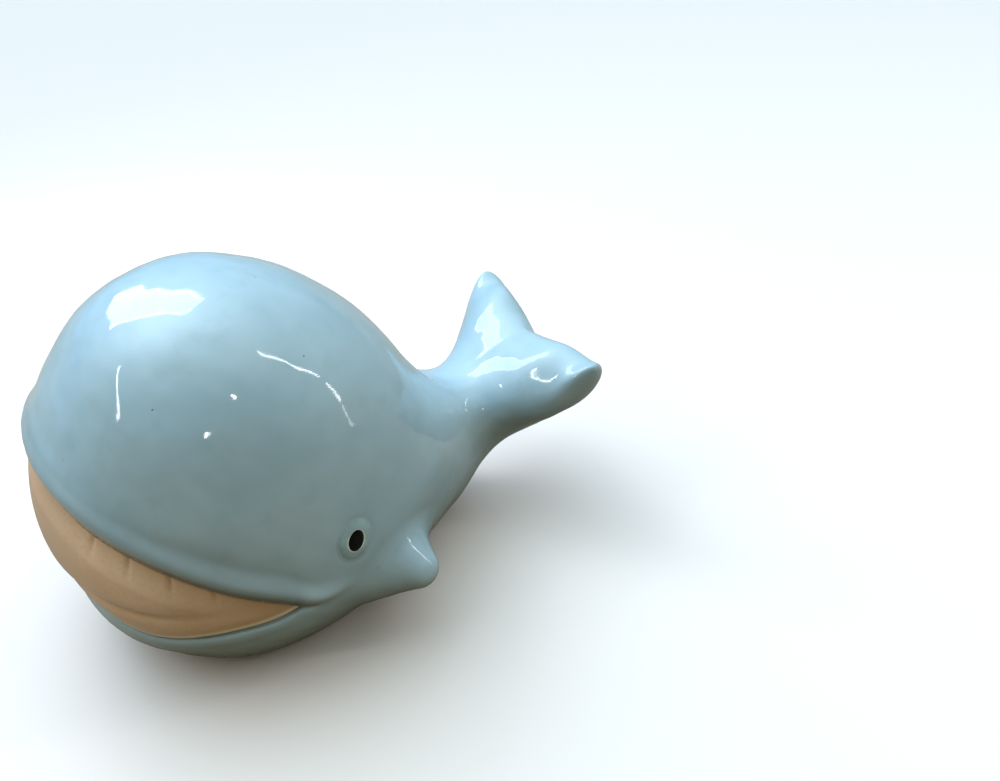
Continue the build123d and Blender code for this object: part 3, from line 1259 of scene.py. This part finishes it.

# %% [markdown]
# ## Cream glaze
# A thinner, half-matt glaze gives the eye warm clay with a broad soft shine, brown where it
# collects. The throat's own measures say where that is: in the pleats, which also get painted
# shade, and along the jaw. They also place painted shade under the lip, under the pouch's fold and
# at the front, and a browner tone towards the cheeks.

# %% Cream glaze
cream_cloud_size, grain_size, grain_depth = 14, 0.8, 0.03
tree, surface, place = shader(cream)
clouds, grain = (
    add(tree, "ShaderNodeTexNoise", {"Vector": place, "Scale": per(size), "Detail": detail})
    for size, detail in ((cream_cloud_size, 3.0), (grain_size, 2.0))
)
around, over, sunk, from_lip, from_jaw = (
    add(tree, "ShaderNodeAttribute", (), "Fac", attribute_name=name)
    for name in ("around", "above_crease", "sunk", "below_lip", "above_jaw")
)
turned = add(tree, "ShaderNodeMath", [around], operation="ABSOLUTE")
colour = coated(tree, "#edc199", [
    (clouds, 0.35, 0.65, 0.0, 1.0, "#f5cba7"),
    # Painted shade at the front, under the lip's overhang
    (turned, 12.0, 38.0, 0.70, 0.0, "#cea37d"),
    (turned, 50.0, 88.0, 0.0, 0.80, "#c69568"),
    # Painted shade below the crease, under the pouch's fold
    (over, -5.0, 0.0, 0.15, 0.0, "#c7a67c"),
    (grain, 0.50, 0.75, 0.0, 0.25, "#c2a57b"),
    # In the pleats and the crease: glaze that collected there, with painted shade
    (sunk, 0.10, 0.75, 0.0, 0.60, "#7a5c38"),
    # Painted shade just under the upper lip, with a thin brown line there
    (from_lip, 0.0, 1.1, 0.60, 0.0, "#6b5436"),
    (from_jaw, 0.9, 1.9, 0.80, 0.0, "#eedfc0"),
    (from_jaw, 0.10, 0.60, 0.80, 0.0, "#5f4f36"),
])
gloss = add(tree, "ShaderNodeMapRange", [clouds, 0.3, 0.7, 0.30, 0.42])
bump = add(
    tree, "ShaderNodeBump", {"Strength": 0.6, "Distance": grain_depth * MM, "Height": grain}
)
fill(surface, {"Base Color": colour, "Roughness": gloss, "Normal": bump, "IOR": 1.5})
print(cream.name, "has", len(tree.nodes), "nodes")

# %% [markdown]
# ## Eye glazes
# The ring wears the blue glaze, which breaks to a thin speckled white line on the raised edge
# round the pupil. The pupil is black enamel, a drop of coloured glass with a soft skin, so it
# gives the eye a deep black with no clear highlight.

# %% Eye glazes
ring_glaze = bpy.data.materials.new("glazed_earthenware_ring")
tree, surface, place = shader(ring_glaze)
clouds, speckle = (
    add(tree, "ShaderNodeTexNoise", {"Vector": place, "Scale": per(size), "Detail": 2.0})
    for size in (3, 0.5)
)
outwards = add(tree, "ShaderNodeAttribute", (), "Fac", attribute_name="outwards")
line_edge = add(tree, "ShaderNodeMath", [speckle, 0.16, outwards], operation="MULTIPLY_ADD")
colour = coated(tree, "#9db9bf", [
    (clouds, 0.35, 0.65, 0.0, 1.0, "#a9c5cb"),
    # Darker at the ring's outer foot: pooled glaze with painted shade in the groove
    (outwards, 0.92, 1.04, 0.0, 0.25, "#7b938f"),
    (line_edge, 0.62, 0.66, 1.0, 0.0, "#f2f3ec"),
])
fill(surface, {"Base Color": colour, "Roughness": 0.09, "IOR": glass_ior})

black = bpy.data.materials.new("black_enamel")
tree, surface, place = shader(black)
clouds = add(tree, "ShaderNodeTexNoise", {"Vector": place, "Scale": per(1.5)})
colour = coated(tree, "#0b0b08", [(clouds, 0.35, 0.65, 0.0, 1.0, "#12110d")])
fill(surface, {"Base Color": colour, "Roughness": 0.2, "IOR": 1.4, "Specular IOR Level": 0.1})
for word in ("left", "right"):
    bpy.data.objects[word + "_eye_rim"].data.materials.append(ring_glaze)
    bpy.data.objects[word + "_eye_enamel"].data.materials.append(black)

# %% [markdown]
# ## Bare clay
# The floor of the foot is fired clay with no glaze. It gives the eye a dry buff surface with fine
# grit and a few darker grains. The frame's own mesh keeps its shape there and only takes the
# material.

# %% Bare clay
clay = bpy.data.materials.new("bare_fired_clay")
tree, surface, place = shader(clay)
grit = add(tree, "ShaderNodeTexNoise", {"Vector": place, "Scale": per(0.9), "Detail": 3.0})
spots = speckled(tree, place, spacing=2.4, size=0.3, share=0.5)
colour = coated(tree, "#bfa98a", [
    (grit, 0.35, 0.65, 0.0, 1.0, "#cfbc9d"),
    (spots, 0.0, 1.0, 0.0, 0.6, "#7c6648"),
])
bump = add(tree, "ShaderNodeBump", {"Strength": 0.8, "Distance": 0.08 * MM, "Height": grit})
fill(surface, {"Base Color": colour, "Roughness": 0.85, "Normal": bump})
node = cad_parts["foot_base"]
node.data.materials.clear()
node.data.materials.append(clay)
print("materials:", sorted(m.name for m in bpy.data.materials))

# %% [markdown]
# ## Floor
# The floor is plain pale paper. The camera sees it pale, and so, in part, do reflections. Diffuse
# light takes it for a warm table instead, as the shadow side of the real piece shows one. Light
# Path tells these rays apart.

# %% Floor
floor_half = 3.0 / MM
table_colour, paper_colour, mirrored_share = "#897a64", "#f8ebe5", 0.3
floor_corners = [(-1, -1), (1, -1), (1, 1), (-1, 1)]
floor_points = [(x * floor_half, y * floor_half, 0) for x, y in floor_corners]
floor = new_object("floor", new_mesh("floor", floor_points, [(0, 1, 2, 3)]))
paper = bpy.data.materials.new("pale_paper")
tree, surface, place = shader(paper)
ray = add(tree, "ShaderNodeLightPath").node.outputs
mirrored = add(
    tree, "ShaderNodeMath", [ray["Is Glossy Ray"], mirrored_share], operation="MULTIPLY"
)
seen = ray["Is Camera Ray"]
for other in (mirrored, ray["Is Transmission Ray"]):
    seen = add(tree, "ShaderNodeMath", [seen, other], operation="MAXIMUM")
colour = coated(tree, table_colour, [(seen, 0.0, 1.0, 0.0, 1.0, paper_colour)])
fill(surface, {"Base Color": colour, "Roughness": 0.9, "Specular IOR Level": 0.0})
floor.data.materials.append(paper)
print("floor:", 2 * floor_half * MM, "m wide")

# %% [markdown]
# ## Soft light
# The room's light is broad: a bright cool ceiling, light walls on two sides and a dim warm rest. A
# lit picture could hold that, but a few smooth lobes of light say the same in a table. The camera
# sees paper behind the floor.

# %% World
# Direction, sharpness, strength and colour of each soft light, over a dim even one
soft_lights = [
    ((-0.49, -0.21, 0.85), 12, 4.1, "#daf3ff"),
    ((-0.05, 0.45, 0.89), 3, 1.2, "#ddf6ff"),
    ((-0.82, -0.20, 0.53), 3, 1.15, "#88bfff"),
    ((-0.50, -0.68, 0.53), 12, 0.5, "#ffe97a"),
    ((0.95, -0.15, 0.25), 12, 0.25, "#fff1de"),
]
dim_colour = "#4d4a24"
world = bpy.data.worlds.new("studio")
bpy.context.scene.world = world
world.use_nodes = True
tree = world.node_tree
aim = add(tree, "ShaderNodeTexCoord", output="Generated")
total = hex_linear(dim_colour)[:3]
for toward, sharpness, strength, colour in soft_lights:
    facing = add(
        tree, "ShaderNodeVectorMath", [aim, Vector(toward).normalized()], "Value",
        operation="DOT_PRODUCT",
    )
    facing = add(tree, "ShaderNodeMath", [facing, 0.0], operation="MAXIMUM")
    glow = add(tree, "ShaderNodeMath", [facing, sharpness], operation="POWER")
    glow = add(tree, "ShaderNodeMath", [glow, strength], operation="MULTIPLY")
    part = add(
        tree, "ShaderNodeVectorMath", {"Vector": hex_linear(colour)[:3], "Scale": glow},
        operation="SCALE",
    )
    total = add(tree, "ShaderNodeVectorMath", [total, part], operation="ADD")
seen_sky = add(tree, "ShaderNodeLightPath", output="Is Camera Ray")
total = coated(tree, total, [(seen_sky, 0.0, 1.0, 0.0, 1.0, paper_colour)])
fill(tree.nodes["Background"], {"Color": total})
print("soft lights:", len(soft_lights))

# %% [markdown]
# ## Lamps
# A glossy glaze shows each lamp as a small sharp picture of it. A near window stands on the far
# side, with brighter edges, and narrow lamps stand where the room's streaks and dots come from.
# Each lamp is placed by two directions from the whale's middle, read back from where its picture
# lies.

# %% Lamps
whale_middle = Vector((0, -20, 50))


def lamp(name, first, last, width, radiance, colour="#ffffff", reach=600.0, beside=0.0):
    """A flat lamp between two directions from the whale, facing it, so many millimetres wide, far
    away and beside that line."""
    a, b = (whale_middle + Vector(aim).normalized() * reach for aim in (first, last))
    out = ((a + b) / 2 - whale_middle).normalized()
    along = (b - a - (b - a).dot(out) * out).normalized()
    across = out.cross(along)
    data = bpy.data.lights.new(name, "AREA")
    data.shape = "RECTANGLE"
    data.size, data.size_y = (b - a).length * MM, width * MM
    data.energy = math.pi * data.size * data.size_y * radiance
    data.color = hex_linear(colour)[:3]
    obj = new_object(name, data)
    obj.location = ((a + b) / 2 + across * beside) * MM
    obj.rotation_mode = "QUATERNION"
    obj.rotation_quaternion = Matrix((along, across, out)).transposed().to_quaternion()
    return obj


window = dict(first=(-226, -101, 124), last=(-147, 24, 233), reach=280.0, colour="#f2f8ff")
edge = dict(width=5.0, radiance=12.0, **window)
lamp("window", width=66.0, radiance=4.5, **window)
lamp("window_near_edge", beside=35.5, **edge)
lamp("window_far_edge", beside=-35.5, **edge)
# Name, the two directions, width and radiance
for row in (
    ("left_strip", (-0.286, -0.615, 0.733), (0.114, -0.857, 0.499), 24.0, 16.0),
    ("right_strip_high", (0.20, 0.56, 0.81), (0.34, 0.77, 0.54), 20.0, 16.0),
    ("right_strip_low", (0.37, 0.80, 0.46), (0.43, 0.87, 0.24), 26.0, 14.0),
    ("right_strip_end", (0.44, 0.87, 0.20), (0.51, 0.86, 0.05), 16.0, 6.0),
    ("high_dot", (0.66, 0.09, 0.74), (0.68, 0.11, 0.72), 18.0, 26.0),
    ("low_dot", (0.84, -0.20, 0.50), (0.82, -0.18, 0.56), 18.0, 22.0),
):
    lamp(*row)
print("lamps:", sorted(light.name for light in bpy.data.lights))

# %% [markdown]
# ## Camera
# The camera stands where the real view was taken from, high on the whale's left. Its place, aim
# and lens were solved from the outline. A long lens would flatten the head, and this one is fairly
# wide.

# %% Camera
camera_place = Vector((203.07, -51.88, 195.98)) * MM
camera_aim = Vector((-0.71665, 0.37228, -0.58976))
camera_roll = math.radians(-2.4)
camera_data = bpy.data.cameras.new("camera")
camera_data.lens = 35.58
camera_data.clip_start = 10 * MM
camera = new_object("camera", camera_data)
camera.location = camera_place
camera.rotation_mode = "QUATERNION"
level = camera_aim.to_track_quat("-Z", "Y")
camera.rotation_quaternion = level @ Quaternion((0, 0, 1), camera_roll)
bpy.context.scene.camera = camera
bpy.context.scene.view_settings.view_transform = "Standard"
print("camera at", [round(c, 4) for c in camera_place], "with a lens of", camera_data.lens, "mm")
